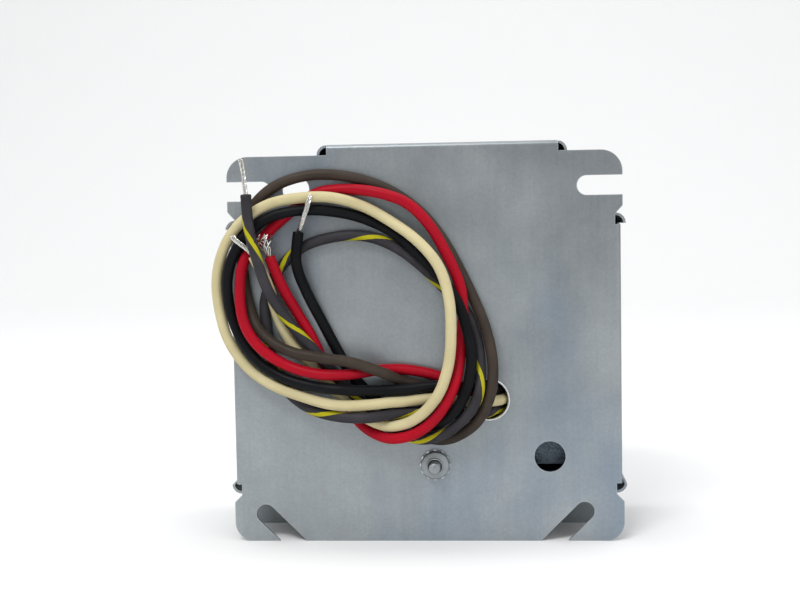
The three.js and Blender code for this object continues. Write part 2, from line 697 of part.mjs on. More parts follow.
function makeLeads() {
  const names = Object.keys(ROUTES);
  const settled = settle(names.map((name) => evenLine(ROUTES[name])));
  names.forEach((name, w) => {
    const line = settled[w].filter((_, i) => i % 3 === 0);
    add("lead_" + name, tube(line, LEAD_DIAMETER, 8), LEAD_LOOKS[name]);
    const end = line[line.length - 1];
    const ahead = new THREE.Vector3(...STRANDS[name][0]).normalize();
    const steps = STRANDS[name].map((step) => end.clone().add(new THREE.Vector3(...step)));
    const bare = [end.clone().addScaledVector(ahead, 0.9), ...steps];
    add("conductor_" + name, tube(bare, STRAND_DIAMETER, 8), BRIGHT);
  });
}

makeRearPlate();
makeCover();
makeCoverScrews();
makeExitBushing();
makeBondingPoint();
makeShieldBracket();
makeBoard();
makeVaristors();
makeThermalFuses();
makeCapacitor();
makeTerminalBlock();
makeSignals();
makeSilenceButton();
makeLeads();
for (const mesh of group.children) mesh.position.y -= MIDDLE_Y;

export default group;
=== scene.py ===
"""Whole house surge protector, seen from behind: grey folded plate, coiled leads, deep cover."""
import json
import math

import bmesh
import bpy
import numpy as np
from mathutils import Matrix, Vector


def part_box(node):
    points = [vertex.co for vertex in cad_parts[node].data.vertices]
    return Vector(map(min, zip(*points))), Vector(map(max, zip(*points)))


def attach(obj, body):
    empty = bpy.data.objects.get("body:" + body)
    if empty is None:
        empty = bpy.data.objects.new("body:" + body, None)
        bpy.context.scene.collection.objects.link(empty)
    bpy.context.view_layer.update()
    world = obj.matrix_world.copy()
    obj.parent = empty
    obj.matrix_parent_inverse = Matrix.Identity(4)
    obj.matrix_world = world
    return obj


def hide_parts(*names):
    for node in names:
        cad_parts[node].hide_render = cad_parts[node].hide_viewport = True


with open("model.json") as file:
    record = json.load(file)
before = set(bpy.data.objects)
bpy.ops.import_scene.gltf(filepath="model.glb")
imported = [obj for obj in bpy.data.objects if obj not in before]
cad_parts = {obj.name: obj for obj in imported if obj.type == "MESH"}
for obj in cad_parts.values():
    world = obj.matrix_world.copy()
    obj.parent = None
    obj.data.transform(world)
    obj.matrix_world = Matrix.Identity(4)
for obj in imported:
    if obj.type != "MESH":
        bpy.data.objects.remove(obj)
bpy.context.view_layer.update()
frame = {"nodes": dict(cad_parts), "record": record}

MM = 0.001
PLATE_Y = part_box("rear_plate")[0][1]  # the plate's outer face; the leads lie on its -Y side
LEAD_DIAMETER = 0.0042
LEAD_CLEAR = 0.00475
LEAD_LOW = 0.00245
EXIT_X = 0.0244
EXIT_Z = 0.0556
EXIT_BORE = 0.00725


# ---- small helpers ----------------------------------------------------------------------------
def make_object(name, vertices, faces, smooth=True):
    mesh = bpy.data.meshes.new(name)
    mesh.from_pydata([tuple(v) for v in vertices], [], faces)
    mesh.update()
    for polygon in mesh.polygons:
        polygon.use_smooth = smooth
    obj = bpy.data.objects.new(name, mesh)
    bpy.context.scene.collection.objects.link(obj)
    return obj


def bevel(obj, width, segments=2, angle=35):
    modifier = obj.modifiers.new("edge", "BEVEL")
    modifier.width = width
    modifier.segments = segments
    modifier.limit_method = "ANGLE"
    modifier.angle_limit = math.radians(angle)
    modifier.harden_normals = True


def node_box(name):
    low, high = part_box(name)
    return np.array(low), np.array(high)


def turned(name, profile, x, z, segments=64):
    """A piece turned about an axis along y. The profile is (radius, y) pairs, in metres."""
    vertices = []
    faces = []
    rings = []
    for radius, y in profile:
        if radius < 1e-7:
            rings.append([len(vertices)])
            vertices.append((x, y, z))
            continue
        rings.append(list(range(len(vertices), len(vertices) + segments)))
        for k in range(segments):
            angle = 2 * math.pi * k / segments
            vertices.append((x + radius * math.cos(angle), y, z + radius * math.sin(angle)))
    closed = profile[0][0] > 1e-7
    pairs = list(zip(rings, rings[1:])) + ([(rings[-1], rings[0])] if closed else [])
    for a, b in pairs:
        for k in range(segments):
            n = (k + 1) % segments
            if len(a) == 1:
                faces.append((a[0], b[n], b[k]))
            elif len(b) == 1:
                faces.append((a[k], a[n], b[0]))
            else:
                faces.append((a[k], a[n], b[n], b[k]))
    obj = make_object(name, vertices, faces)
    make_outward(obj)
    obj.data.set_sharp_from_angle(angle=math.radians(40))
    return obj


def make_outward(obj):
    """Turns every face to point out, whichever way its profile ran."""

    mesh = bmesh.new()
    mesh.from_mesh(obj.data)
    bmesh.ops.recalc_face_normals(mesh, faces=mesh.faces)
    mesh.to_mesh(obj.data)
    mesh.free()


# ---- materials --------------------------------------------------------------------------------
def srgb(*rgb):
    """0-255 display values to the linear colour a shader takes."""
    out = []
    for value in rgb:
        c = value / 255
        out.append(c / 12.92 if c <= 0.04045 else ((c + 0.055) / 1.055) ** 2.4)
    return (*out, 1.0)


class Shader:
    """A material's node tree, with short calls for the nodes used here."""

    def __init__(self, name, roughness=0.5, metallic=0.0, coat=0.0, specular=0.5):
        self.material = bpy.data.materials.new(name)
        self.material.use_nodes = True
        self.tree = self.material.node_tree
        self.surface = self.tree.nodes["Principled BSDF"]
        self.surface.inputs["Roughness"].default_value = roughness
        self.surface.inputs["Metallic"].default_value = metallic
        self.surface.inputs["Coat Weight"].default_value = coat
        self.surface.inputs["Specular IOR Level"].default_value = specular

    def node(self, kind, **settings):
        node = self.tree.nodes.new(kind)
        for key, value in settings.items():
            setattr(node, key, value)
        return node

    def link(self, output, target):
        self.tree.links.new(output, target)

    def place(self, scale=(1, 1, 1)):
        """Object coordinates, stretched."""
        coords = self.node("ShaderNodeTexCoord")
        mapping = self.node("ShaderNodeMapping")
        mapping.inputs["Scale"].default_value = scale
        self.link(coords.outputs["Object"], mapping.inputs["Vector"])
        return mapping.outputs["Vector"]

    def noise(self, vector, scale, detail=4, roughness=0.5):
        node = self.node("ShaderNodeTexNoise")
        node.inputs["Scale"].default_value = scale
        node.inputs["Detail"].default_value = detail
        node.inputs["Roughness"].default_value = roughness
        self.link(vector, node.inputs["Vector"])
        return node.outputs["Fac"]

    def ramp(self, value, stops):
        """A colour ramp. Stops are (position, colour)."""
        node = self.node("ShaderNodeValToRGB")
        ramp = node.color_ramp
        while len(ramp.elements) < len(stops):
            ramp.elements.new(0.5)
        for element, (position, colour) in zip(ramp.elements, stops):
            element.position = position
            element.color = colour
        self.link(value, node.inputs["Fac"])
        return node.outputs["Color"]

    def mix(self, factor, a, b, mode="MIX"):
        node = self.node("ShaderNodeMix", data_type="RGBA", blend_type=mode)
        if isinstance(factor, float):
            node.inputs["Factor"].default_value = factor
        else:
            self.link(factor, node.inputs["Factor"])
        for value, socket in ((a, node.inputs[6]), (b, node.inputs[7])):
            if isinstance(value, tuple):
                socket.default_value = value
            else:
                self.link(value, socket)
        return node.outputs[2]

    def math(self, kind, a, b=None, c=None):
        node = self.node("ShaderNodeMath", operation=kind)
        for value, socket in zip((a, b, c), node.inputs):
            if value is None:
                continue
            if isinstance(value, (int, float)):
                socket.default_value = value
            else:
                self.link(value, socket)
        return node.outputs[0]

    def spread(self, value, low, high, to_low, to_high):
        """Maps a value from one range to another."""
        node = self.node("ShaderNodeMapRange")
        for key, number in zip(("From Min", "From Max", "To Min", "To Max"), (low, high, to_low, to_high)):
            node.inputs[key].default_value = number
        self.link(value, node.inputs["Value"])
        return node.outputs["Result"]

    def colour(self, value):
        if isinstance(value, tuple):
            self.surface.inputs["Base Color"].default_value = value
        else:
            self.link(value, self.surface.inputs["Base Color"])

    def roughness(self, value):
        self.link(value, self.surface.inputs["Roughness"])

    def bump(self, height, strength, distance):
        node = self.node("ShaderNodeBump")
        node.inputs["Strength"].default_value = strength
        node.inputs["Distance"].default_value = distance
        self.link(height, node.inputs["Height"])
        self.link(node.outputs["Normal"], self.surface.inputs["Normal"])

    def painted_edge_highlight(self, base, edge_light_colour, radius=0.0006):
        """Lightens convex edges: a painted highlight where the edges catch the light."""
        bevel_node = self.node("ShaderNodeBevel", samples=4)
        bevel_node.inputs["Radius"].default_value = radius
        geometry = self.node("ShaderNodeNewGeometry")
        dot = self.node("ShaderNodeVectorMath", operation="DOT_PRODUCT")
        self.link(bevel_node.outputs["Normal"], dot.inputs[0])
        self.link(geometry.outputs["Normal"], dot.inputs[1])
        edge_amount = self.spread(dot.outputs["Value"], 0.99, 0.86, 0.0, 1.0)
        return self.mix(edge_amount, base, edge_light_colour)


def sheet_steel(name, low, middle, high, painted_light_low=0.0):
    """Satin zinc-coated sheet: cloudy mottle, fine speckle, a faint vertical grain, bluish patches.
    Painted light can lighten it towards the bottom, and convex edges get a painted highlight.
    """
    s = Shader(name, roughness=0.42, metallic=0.75)
    cloud = s.noise(s.place(), 24, 6, 0.6)
    speckle = s.noise(s.place(), 950, 3, 0.7)
    grain = s.noise(s.place((1, 1, 0.04)), 700, 2, 0.6)
    patch = s.noise(s.place((1.3, 1, 0.8)), 13, 3, 0.55)
    base = s.ramp(cloud, [(0.3, low), (0.5, middle), (0.72, high)])
    bluish = s.spread(patch, 0.5, 0.72, 0.0, 0.5)
    base = s.mix(bluish, base, srgb(98, 118, 140))
    fine = s.ramp(speckle, [(0.3, (0.93, 0.93, 0.93, 1)), (0.72, (1.06, 1.06, 1.06, 1))])
    base = s.mix(1.0, base, fine, "MULTIPLY")
    streak = s.ramp(grain, [(0.3, (0.97, 0.97, 0.97, 1)), (0.7, (1.02, 1.02, 1.02, 1))])
    base = s.mix(1.0, base, streak, "MULTIPLY")
    # Painted light: the colour is lightened towards the bottom of the part, by object height. This stands
    # in for light and is not a tone of the sheet.
    if painted_light_low:
        coords = s.node("ShaderNodeTexCoord")
        split = s.node("ShaderNodeSeparateXYZ")
        s.link(coords.outputs["Object"], split.inputs[0])
        down = s.spread(split.outputs["Z"], 0.15, 0.0, 1.0 - painted_light_low / 2, 1.0 + painted_light_low)
        shade = s.node("ShaderNodeCombineXYZ")
        for k in range(3):
            s.link(down, shade.inputs[k])
        base = s.mix(1.0, base, shade.outputs[0], "MULTIPLY")
    # Convex edges are lightened towards srgb(176, 182, 186): a painted highlight.
    s.colour(s.painted_edge_highlight(base, srgb(176, 182, 186)))
    s.roughness(s.spread(cloud, 0.25, 0.75, 0.34, 0.5))
    s.bump(s.math("ADD", speckle, s.math("MULTIPLY", cloud, 2.0)), 0.1, 0.00005)
    return s.material


def galvanised():
    """Zinc-dipped sheet with fine crystal cells, in dark tones: painted shade for where it is seen in
    shadow behind the plate.
    """
    s = Shader("galvanised", roughness=0.42, metallic=0.75)
    cells = s.node("ShaderNodeTexVoronoi")
    cells.inputs["Scale"].default_value = 1400
    s.link(s.place(), cells.inputs["Vector"])
    grey = s.node("ShaderNodeSeparateColor")
    s.link(cells.outputs["Color"], grey.inputs[0])
    # Dark tones: painted shade, not the zinc's own colour.
    s.colour(s.ramp(grey.outputs[0], [(0.1, srgb(58, 68, 78)), (0.9, srgb(104, 116, 126))]))
    s.roughness(s.spread(grey.outputs[0], 0, 1, 0.3, 0.55))
    return s.material


def plated(name, colour, roughness, mottle_scale=300):
    """Bright plating with faint clouding and fine marks."""
    s = Shader(name, roughness=roughness, metallic=1.0)
    cloud = s.noise(s.place(), mottle_scale, 5, 0.6)
    dark = tuple(v * 0.7 for v in colour[:3]) + (1,)
    s.colour(s.ramp(cloud, [(0.3, dark), (0.65, colour)]))
    s.roughness(s.spread(cloud, 0.3, 0.7, roughness * 0.8, roughness * 1.5))
    s.bump(cloud, 0.15, 0.00005)
    return s.material


def plastic(name, colour, roughness=0.45, grain=1500):
    s = Shader(name, roughness=roughness)
    fine = s.noise(s.place(), grain, 3)
    cloud = s.noise(s.place(), 60, 3)
    dark = tuple(v * 0.8 for v in colour[:3]) + (1,)
    s.colour(s.ramp(cloud, [(0.35, dark), (0.65, colour)]))
    s.roughness(s.spread(cloud, 0.3, 0.7, roughness * 0.85, roughness * 1.2))
    s.bump(fine, 0.2, 0.00004)
    return s.material


def insulation(name, colour, sheen, roughness=0.4, coat=0.0):
    """Smooth jacket: faint lengthwise drawing marks, slight grime, nylon gloss."""
    s = Shader(name, roughness=roughness, coat=coat, specular=0.08)
    s.surface.inputs["Coat Roughness"].default_value = 0.28
    uv = s.node("ShaderNodeUVMap")
    mapping = s.node("ShaderNodeMapping")
    mapping.inputs["Scale"].default_value = (10, 30, 1)
    s.link(uv.outputs["UV"], mapping.inputs["Vector"])
    marks = s.noise(mapping.outputs["Vector"], 1.0, 4, 0.6)
    grime = s.noise(s.place(), 55, 4, 0.6)
    base = s.ramp(grime, [(0.3, colour), (0.72, sheen)])
    lift = s.ramp(marks, [(0.35, (0.94, 0.94, 0.94, 1)), (0.65, (1.04, 1.04, 1.04, 1))])
    s.colour(s.mix(1.0, base, lift, "MULTIPLY"))
    s.roughness(s.spread(marks, 0.3, 0.7, roughness * 0.85, roughness * 1.25))
    s.bump(marks, 0.1, 0.00005)
    return s


def striped_insulation(name, colour, sheen, stripe, pitch, width):
    """The same jacket with one stripe that winds round it."""
    s = insulation(name, colour, sheen)
    base = s.surface.inputs["Base Color"].links[0].from_socket
    uv = s.node("ShaderNodeUVMap")
    split = s.node("ShaderNodeSeparateXYZ")
    s.link(uv.outputs["UV"], split.inputs[0])
    turn = s.math("MULTIPLY", split.outputs["Y"], 1 / pitch)
    phase = s.math("FRACT", s.math("ADD", s.math("ADD", split.outputs["X"], turn), 4.0))
    ragged = s.math("MULTIPLY", s.noise(s.place(), 260, 3, 0.6), 0.09)
    inside = s.math("LESS_THAN", s.math("ADD", phase, ragged), width + 0.045)
    s.colour(s.mix(inside, base, stripe))
    return s.material


def board_green():
    s = Shader("board_green", roughness=0.4, coat=0.3)
    weave = s.noise(s.place((1, 1, 1)), 1200, 2)
    s.colour(s.ramp(weave, [(0.35, srgb(18, 78, 48)), (0.65, srgb(30, 104, 62))]))
    s.bump(weave, 0.1, 0.00003)
    return s.material


def clear_lens():
    s = Shader("clear_lens", roughness=0.12)
    s.surface.inputs["Transmission Weight"].default_value = 0.85
    s.surface.inputs["IOR"].default_value = 1.49
    cloud = s.noise(s.place(), 200, 2)
    s.colour(s.ramp(cloud, [(0.3, srgb(120, 214, 140)), (0.7, srgb(160, 232, 172))]))
    return s.material


# ---- leads ------------------------------------------------------------------------------------
# The same routes as the CAD part, in metres from the plate: each starts at the terminal block and
# ends where its insulation ends.
ROUTES = {
    "cream": [
        (0.0450, 0.0125, 0.0555), (0.0335, 0.0090, 0.0555), (0.0260, -0.0015, 0.0555),
        (0.0155, -0.0070, 0.0555), (0.0030, -0.0070, 0.0565), (-0.0095, -0.0080, 0.0550),
        (-0.0220, -0.0115, 0.0545), (-0.0345, -0.0115, 0.0550), (-0.0465, -0.0085, 0.0580),
        (-0.0585, -0.0065, 0.0625), (-0.0685, -0.0040, 0.0690), (-0.0760, -0.0025, 0.0790),
        (-0.0795, -0.0025, 0.0905), (-0.0805, -0.0025, 0.1035), (-0.0770, -0.0045, 0.1155),
        (-0.0700, -0.0070, 0.1250), (-0.0590, -0.0070, 0.1320), (-0.0465, -0.0070, 0.1345),
        (-0.0345, -0.0065, 0.1345), (-0.0225, -0.0055, 0.1310), (-0.0110, -0.0070, 0.1245),
        (-0.0015, -0.0100, 0.1175), (0.0065, -0.0125, 0.1080), (0.0105, -0.0140, 0.0960),
        (0.0110, -0.0145, 0.0835), (0.0100, -0.0155, 0.0710), (0.0060, -0.0155, 0.0590),
        (-0.0025, -0.0125, 0.0505), (-0.0140, -0.0080, 0.0475), (-0.0250, -0.0070, 0.0520),
        (-0.0345, -0.0070, 0.0610), (-0.0430, -0.0050, 0.0700), (-0.0515, -0.0030, 0.0785),
        (-0.0570, -0.0030, 0.0895), (-0.0595, -0.0075, 0.1015), (-0.0645, -0.0100, 0.1130),
    ],
    "black": [
        (0.0450, 0.0125, 0.0625), (0.0335, 0.0090, 0.0615), (0.0260, 0.0000, 0.0595),
        (0.0160, -0.0070, 0.0605), (0.0040, -0.0070, 0.0615), (-0.0085, -0.0075, 0.0605),
        (-0.0205, -0.0095, 0.0605), (-0.0325, -0.0120, 0.0615), (-0.0445, -0.0095, 0.0630),
        (-0.0560, -0.0075, 0.0665), (-0.0660, -0.0060, 0.0735), (-0.0725, -0.0050, 0.0840),
        (-0.0755, -0.0050, 0.0960), (-0.0745, -0.0060, 0.1080), (-0.0685, -0.0075, 0.1190),
        (-0.0595, -0.0075, 0.1270), (-0.0480, -0.0070, 0.1300), (-0.0355, -0.0050, 0.1295),
        (-0.0235, -0.0030, 0.1265), (-0.0125, -0.0030, 0.1210), (-0.0035, -0.0060, 0.1140),
        (0.0050, -0.0075, 0.1050), (0.0125, -0.0105, 0.0955), (0.0165, -0.0115, 0.0845),
        (0.0180, -0.0115, 0.0720), (0.0155, -0.0135, 0.0600), (0.0090, -0.0110, 0.0500),
        (0.0010, -0.0040, 0.0450), (-0.0105, -0.0025, 0.0485), (-0.0205, -0.0025, 0.0560),
        (-0.0285, -0.0025, 0.0645), (-0.0345, -0.0025, 0.0755), (-0.0400, -0.0025, 0.0870),
        (-0.0450, -0.0045, 0.0980), (-0.0485, -0.0070, 0.1095), (-0.0475, -0.0070, 0.1215),
    ],
    "red": [
        (0.0450, 0.0185, 0.0590), (0.0330, 0.0160, 0.0590), (0.0245, 0.0070, 0.0585),
        (0.0175, -0.0035, 0.0595), (0.0065, -0.0030, 0.0645), (-0.0055, -0.0025, 0.0670),
        (-0.0175, -0.0045, 0.0675), (-0.0285, -0.0105, 0.0670), (-0.0405, -0.0115, 0.0675),
        (-0.0525, -0.0095, 0.0710), (-0.0625, -0.0095, 0.0780), (-0.0690, -0.0085, 0.0885),
        (-0.0705, -0.0070, 0.1010), (-0.0685, -0.0065, 0.1125), (-0.0605, -0.0035, 0.1215),
        (-0.0510, -0.0025, 0.1295), (-0.0410, -0.0025, 0.1365), (-0.0285, -0.0035, 0.1380),
        (-0.0170, -0.0065, 0.1365), (-0.0055, -0.0070, 0.1320), (0.0030, -0.0070, 0.1230),
        (0.0090, -0.0070, 0.1120), (0.0135, -0.0070, 0.1005), (0.0145, -0.0065, 0.0885),
        (0.0140, -0.0080, 0.0760), (0.0125, -0.0120, 0.0645), (0.0070, -0.0130, 0.0535),
        (-0.0025, -0.0110, 0.0455), (-0.0135, -0.0080, 0.0435), (-0.0240, -0.0030, 0.0475),
        (-0.0315, -0.0025, 0.0575), (-0.0380, -0.0025, 0.0685), (-0.0430, -0.0025, 0.0795),
        (-0.0490, -0.0030, 0.0900), (-0.0545, -0.0065, 0.1005), (-0.0590, -0.0080, 0.1120),
    ],
    "brown": [
        (0.0450, 0.0185, 0.0520), (0.0330, 0.0160, 0.0525), (0.0245, 0.0070, 0.0530),
        (0.0165, -0.0025, 0.0550), (0.0050, -0.0025, 0.0600), (-0.0070, -0.0035, 0.0630),
        (-0.0165, -0.0100, 0.0680), (-0.0280, -0.0120, 0.0720), (-0.0410, -0.0120, 0.0740),
        (-0.0530, -0.0095, 0.0765), (-0.0630, -0.0065, 0.0830), (-0.0680, -0.0030, 0.0935),
        (-0.0700, -0.0025, 0.1060), (-0.0705, -0.0025, 0.1190), (-0.0665, -0.0025, 0.1305),
        (-0.0575, -0.0025, 0.1390), (-0.0455, -0.0025, 0.1430), (-0.0330, -0.0025, 0.1430),
        (-0.0205, -0.0025, 0.1400), (-0.0095, -0.0025, 0.1350), (0.0005, -0.0025, 0.1270),
        (0.0080, -0.0025, 0.1170), (0.0140, -0.0025, 0.1055), (0.0190, -0.0030, 0.0940),
        (0.0230, -0.0055, 0.0825), (0.0250, -0.0080, 0.0705), (0.0235, -0.0100, 0.0585),
        (0.0170, -0.0060, 0.0480), (0.0070, -0.0025, 0.0420), (-0.0050, -0.0025, 0.0435),
    ],
    "grey": [
        (0.0450, 0.0125, 0.0485), (0.0335, 0.0090, 0.0495), (0.0260, -0.0005, 0.0515),
        (0.0155, -0.0065, 0.0510), (0.0030, -0.0070, 0.0520), (-0.0095, -0.0080, 0.0515),
        (-0.0205, -0.0120, 0.0505), (-0.0330, -0.0105, 0.0510), (-0.0445, -0.0060, 0.0535),
        (-0.0540, -0.0025, 0.0600), (-0.0595, -0.0025, 0.0710), (-0.0615, -0.0025, 0.0835),
        (-0.0615, -0.0025, 0.0960), (-0.0560, -0.0025, 0.1070), (-0.0470, -0.0025, 0.1155),
        (-0.0350, -0.0025, 0.1195), (-0.0225, -0.0025, 0.1200), (-0.0110, -0.0025, 0.1160),
        (-0.0015, -0.0025, 0.1090), (0.0075, -0.0025, 0.1000), (0.0160, -0.0025, 0.0910),
        (0.0205, -0.0040, 0.0795), (0.0210, -0.0075, 0.0675), (0.0185, -0.0120, 0.0565),
        (0.0105, -0.0085, 0.0480), (-0.0005, -0.0070, 0.0430), (-0.0120, -0.0035, 0.0450),
        (-0.0225, -0.0025, 0.0520), (-0.0305, -0.0035, 0.0615), (-0.0380, -0.0070, 0.0710),
        (-0.0460, -0.0070, 0.0800), (-0.0535, -0.0075, 0.0895), (-0.0590, -0.0120, 0.1000),
        (-0.0625, -0.0140, 0.1115), (-0.0655, -0.0130, 0.1235), (-0.0665, -0.0120, 0.1360),
    ],
}

# The stripped strands, as steps from the end of the insulation.
STRANDS = {
    "cream": [(-0.0025, -0.0008, 0.003), (-0.0055, -0.0012, 0.0055), (-0.008, -0.001, 0.008)],
    "black": [
        (0.0015, -0.002, 0.003), (0.003, -0.0035, 0.0065),
        (0.0045, -0.004, 0.0105), (0.0055, -0.0035, 0.0145),
    ],
    "red": [(-0.001, -0.001, 0.003), (-0.0015, -0.0015, 0.0055), (-0.0015, -0.0015, 0.009)],
    "brown": [(-0.0035, 0.001, 0.0), (-0.007, 0.001, 0.0005), (-0.011, 0.001, 0.001)],
    "grey": [(-0.0005, 0.0005, 0.004), (-0.001, 0.001, 0.009), (-0.002, 0.001, 0.014)],
}

FRAY = {"cream": 0.0002, "black": 0.0002, "red": 0.0032, "brown": 0.0001, "grey": 0.0001}

SAMPLES = 240
HELD = 6
ROUNDS = 160


def catmull(a, b, c, d, t):
    bend = 2 * a - 5 * b + 4 * c - d
    twist = 3 * b - a - 3 * c + d
    return 0.5 * (2 * b + (c - a) * t + bend * t**2 + twist * t**3)


def even(points, count):
    """The same line at evenly spaced samples."""
    steps = np.linalg.norm(np.diff(points, axis=0), axis=1)
    run = np.concatenate([[0], np.cumsum(steps)])
    places = np.linspace(0, run[-1], count)
    return np.stack([np.interp(places, run, points[:, k]) for k in range(3)], axis=1)


def smooth_line(route, per_span=12):
    p = np.array(route, float)
    p = np.vstack([2 * p[0] - p[1], p, 2 * p[-1] - p[-2]])
    fine = []
    for a, b, c, d in zip(p, p[1:], p[2:], p[3:]):
        fine += [catmull(a, b, c, d, k / per_span) for k in range(per_span)]
    fine.append(p[-2])
    return np.array(fine)


def nearby_pairs(points):
    count = SAMPLES + 1
    first, second = np.triu_indices(len(points), 1)
    near = np.linalg.norm(points[first] - points[second], axis=1) < LEAD_CLEAR + 0.005
    same_lead = (first // count == second // count) & (second - first < 12)
    keep = near & ~same_lead
    return first[keep], second[keep]


def push_apart(points, first, second):
    apart = points[first] - points[second]
    gap = np.linalg.norm(apart, axis=1) + 1e-12
    half = np.maximum(LEAD_CLEAR - gap, 0) / 2
    step = apart * (half / gap)[:, None]
    total = np.zeros_like(points)
    np.add.at(total, first, step)
    np.add.at(total, second, -step)
    most = np.zeros(len(points))
    np.maximum.at(most, first, half)
    np.maximum.at(most, second, half)
    size = np.linalg.norm(total, axis=1) + 1e-12
    return points + total * np.minimum(1, most / size)[:, None]


def smooth_shift(points, start):
    """The shift of each sample is shared with its neighbours, which keeps the bends gentle."""
    shift = (points - start).reshape(len(ROUTES), SAMPLES + 1, 3)
    padded = np.concatenate([shift[:, :1], shift, shift[:, -1:]], axis=1)
    shared = 0.25 * padded[:, :-2] + 0.5 * padded[:, 1:-1] + 0.25 * padded[:, 2:]
    shared[:, :HELD] = 0
    return start + shared.reshape(-1, 3)


def keep_off_plate(points):
    away = np.hypot(points[:, 0] - EXIT_X, points[:, 2] - EXIT_Z)
    low = np.where(away < 0.0105, LEAD_LOW + 0.0009, LEAD_LOW)
    outside = (points[:, 1] < 0.001) & (away > 0.0055)
    points[outside, 1] = np.minimum(points[outside, 1], -low[outside])
    most = EXIT_BORE - LEAD_DIAMETER / 2 - 0.0004
    inside = (np.abs(points[:, 1]) < 0.0022) & (away < 0.007) & (away > most)
    for k, middle in ((0, EXIT_X), (2, EXIT_Z)):
        points[inside, k] = middle + (points[inside, k] - middle) * most / away[inside]


def settle(lines):
    """Leads that would run through each other are pushed apart until they lie clear."""
    start = np.concatenate(lines)
    points = start.copy()
    first, second = nearby_pairs(start)
    for turn in range(ROUNDS):
        points = push_apart(points, first, second)
        for _ in range(2 if turn < ROUNDS - 25 else 1):
            points = smooth_shift(points, start)
        keep_off_plate(points)
    return points.reshape(len(lines), SAMPLES + 1, 3)


def frames_along(points):
    """Two directions across the line at each point, carried along without twist."""
    ahead = np.gradient(points, axis=0)
    ahead /= np.linalg.norm(ahead, axis=1)[:, None]
    across = np.cross(ahead[0], (0.0, 0.0, 1.0))
    if np.linalg.norm(across) < 0.2:
        across = np.cross(ahead[0], (1.0, 0.0, 0.0))
    sides = []
    for direction in ahead:
        across = across - direction * np.dot(across, direction)
        across /= np.linalg.norm(across)
        sides.append((across.copy(), np.cross(direction, across)))
    return sides, ahead


def tube(name, points, radius, sides=20, rounded=0.0):
    """A round tube on a line, with flat ends and UVs: once round in U, metres along in V."""
    across, ahead = frames_along(points)
    radii = [radius] * len(points)
    rings = list(points)
    if rounded:
        radii = [radius - rounded] + radii + [radius - rounded]
        rings = [points[0] - ahead[0] * rounded, *points, points[-1] + ahead[-1] * rounded]
        across = [across[0], *across, across[-1]]
    vertices = []
    for centre, (u, v), r in zip(rings, across, radii):
        for k in range(sides):
            angle = 2 * math.pi * k / sides
            vertices.append(centre + r * (math.cos(angle) * u + math.sin(angle) * v))
    faces = []
    for i in range(len(rings) - 1):
        for k in range(sides):
            n = (k + 1) % sides
            a, b = i * sides, (i + 1) * sides
            faces.append((a + k, a + n, b + n, b + k))
    last = (len(rings) - 1) * sides
    faces.append(tuple(range(sides))[::-1])
    faces.append(tuple(last + k for k in range(sides)))
    obj = make_object(name, vertices, faces)
    steps = np.linalg.norm(np.diff(np.array(rings), axis=0), axis=1)
    run = np.concatenate([[0], np.cumsum(steps)])
    layer = obj.data.uv_layers.new(name="UVMap")
    for polygon in obj.data.polygons[:-2]:
        i, k = divmod(polygon.index, sides)
        corners = ((k, i), (k + 1, i), (k + 1, i + 1), (k, i + 1))
        for loop, (around, along) in zip(polygon.loop_indices, corners):
            layer.data[loop].uv = (around / sides, run[along])
    obj.data.polygons[-1].use_smooth = False
    obj.data.polygons[-2].use_smooth = False
    make_outward(obj)
    return obj


def merge(name, objects):
    """Several meshes as one object."""
    vertices = []
    faces = []
    for obj in objects:
        base = len(vertices)
        vertices += [tuple(v.co) for v in obj.data.vertices]
        faces += [tuple(base + i for i in p.vertices) for p in obj.data.polygons]
        bpy.data.objects.remove(obj)
    return make_object(name, vertices, faces)


STRAND_TURN = 0.014
CORE_RADIUS = 0.00028
STRAND_RADIUS = 0.00029
STRAND_LAY = 0.00056


def strand_bundle(name, line, fray):
    """Seven strands laid round each other. Frayed ends open out."""
    across, _ = frames_along(line)
    along = np.linspace(0, 1, len(line))
    length = np.linalg.norm(np.diff(line, axis=0), axis=1).sum()
    strands = [tube(name + "_core", line, CORE_RADIUS, sides=10)]
    for k in range(6):
        turn = 2 * math.pi * (k / 6 + along * length / STRAND_TURN)
        spread = (0.2, 1.0, 0.5, 1.5, 0.7, 1.2)[k]
        out = STRAND_LAY + fray * spread * along**1.7
        points = []
        for centre, (u, v), angle, r in zip(line, across, turn, out):
            points.append(centre + r * (math.cos(angle) * u + math.sin(angle) * v))
        points = np.array(points)[: len(line) - k % 3]
        strands.append(tube(name + "_strand", points, STRAND_RADIUS, sides=10))
    return merge(name, strands)


def build_leads():
    names = list(ROUTES)
    settled = settle([even(smooth_line(ROUTES[name]), SAMPLES + 1) for name in names])
    settled[:, :, 1] += PLATE_Y
    looks = lead_looks()
    strand_look = plated("copper_tinned", srgb(226, 224, 218), 0.2, 900)
    for name, points in zip(names, settled):
        line = even(smooth_line(points[::3], 6), 420)
        jacket = tube("jacket_" + name, line, LEAD_DIAMETER / 2, sides=22, rounded=0.00025)
        finish_piece(jacket, looks[name], "insulation_" + name, "lead_" + name)
        end = points[-1]
        ahead = points[-1] - points[-2]
        ahead /= np.linalg.norm(ahead)
        bare = [end - ahead * 0.001, end + ahead * 0.0002] + [end + np.array(s) for s in STRANDS[name]]
        bundle = strand_bundle("strands_" + name, even(smooth_line(bare), 40), FRAY[name])
        finish_piece(bundle, strand_look, "copper_tinned", "conductor_" + name)


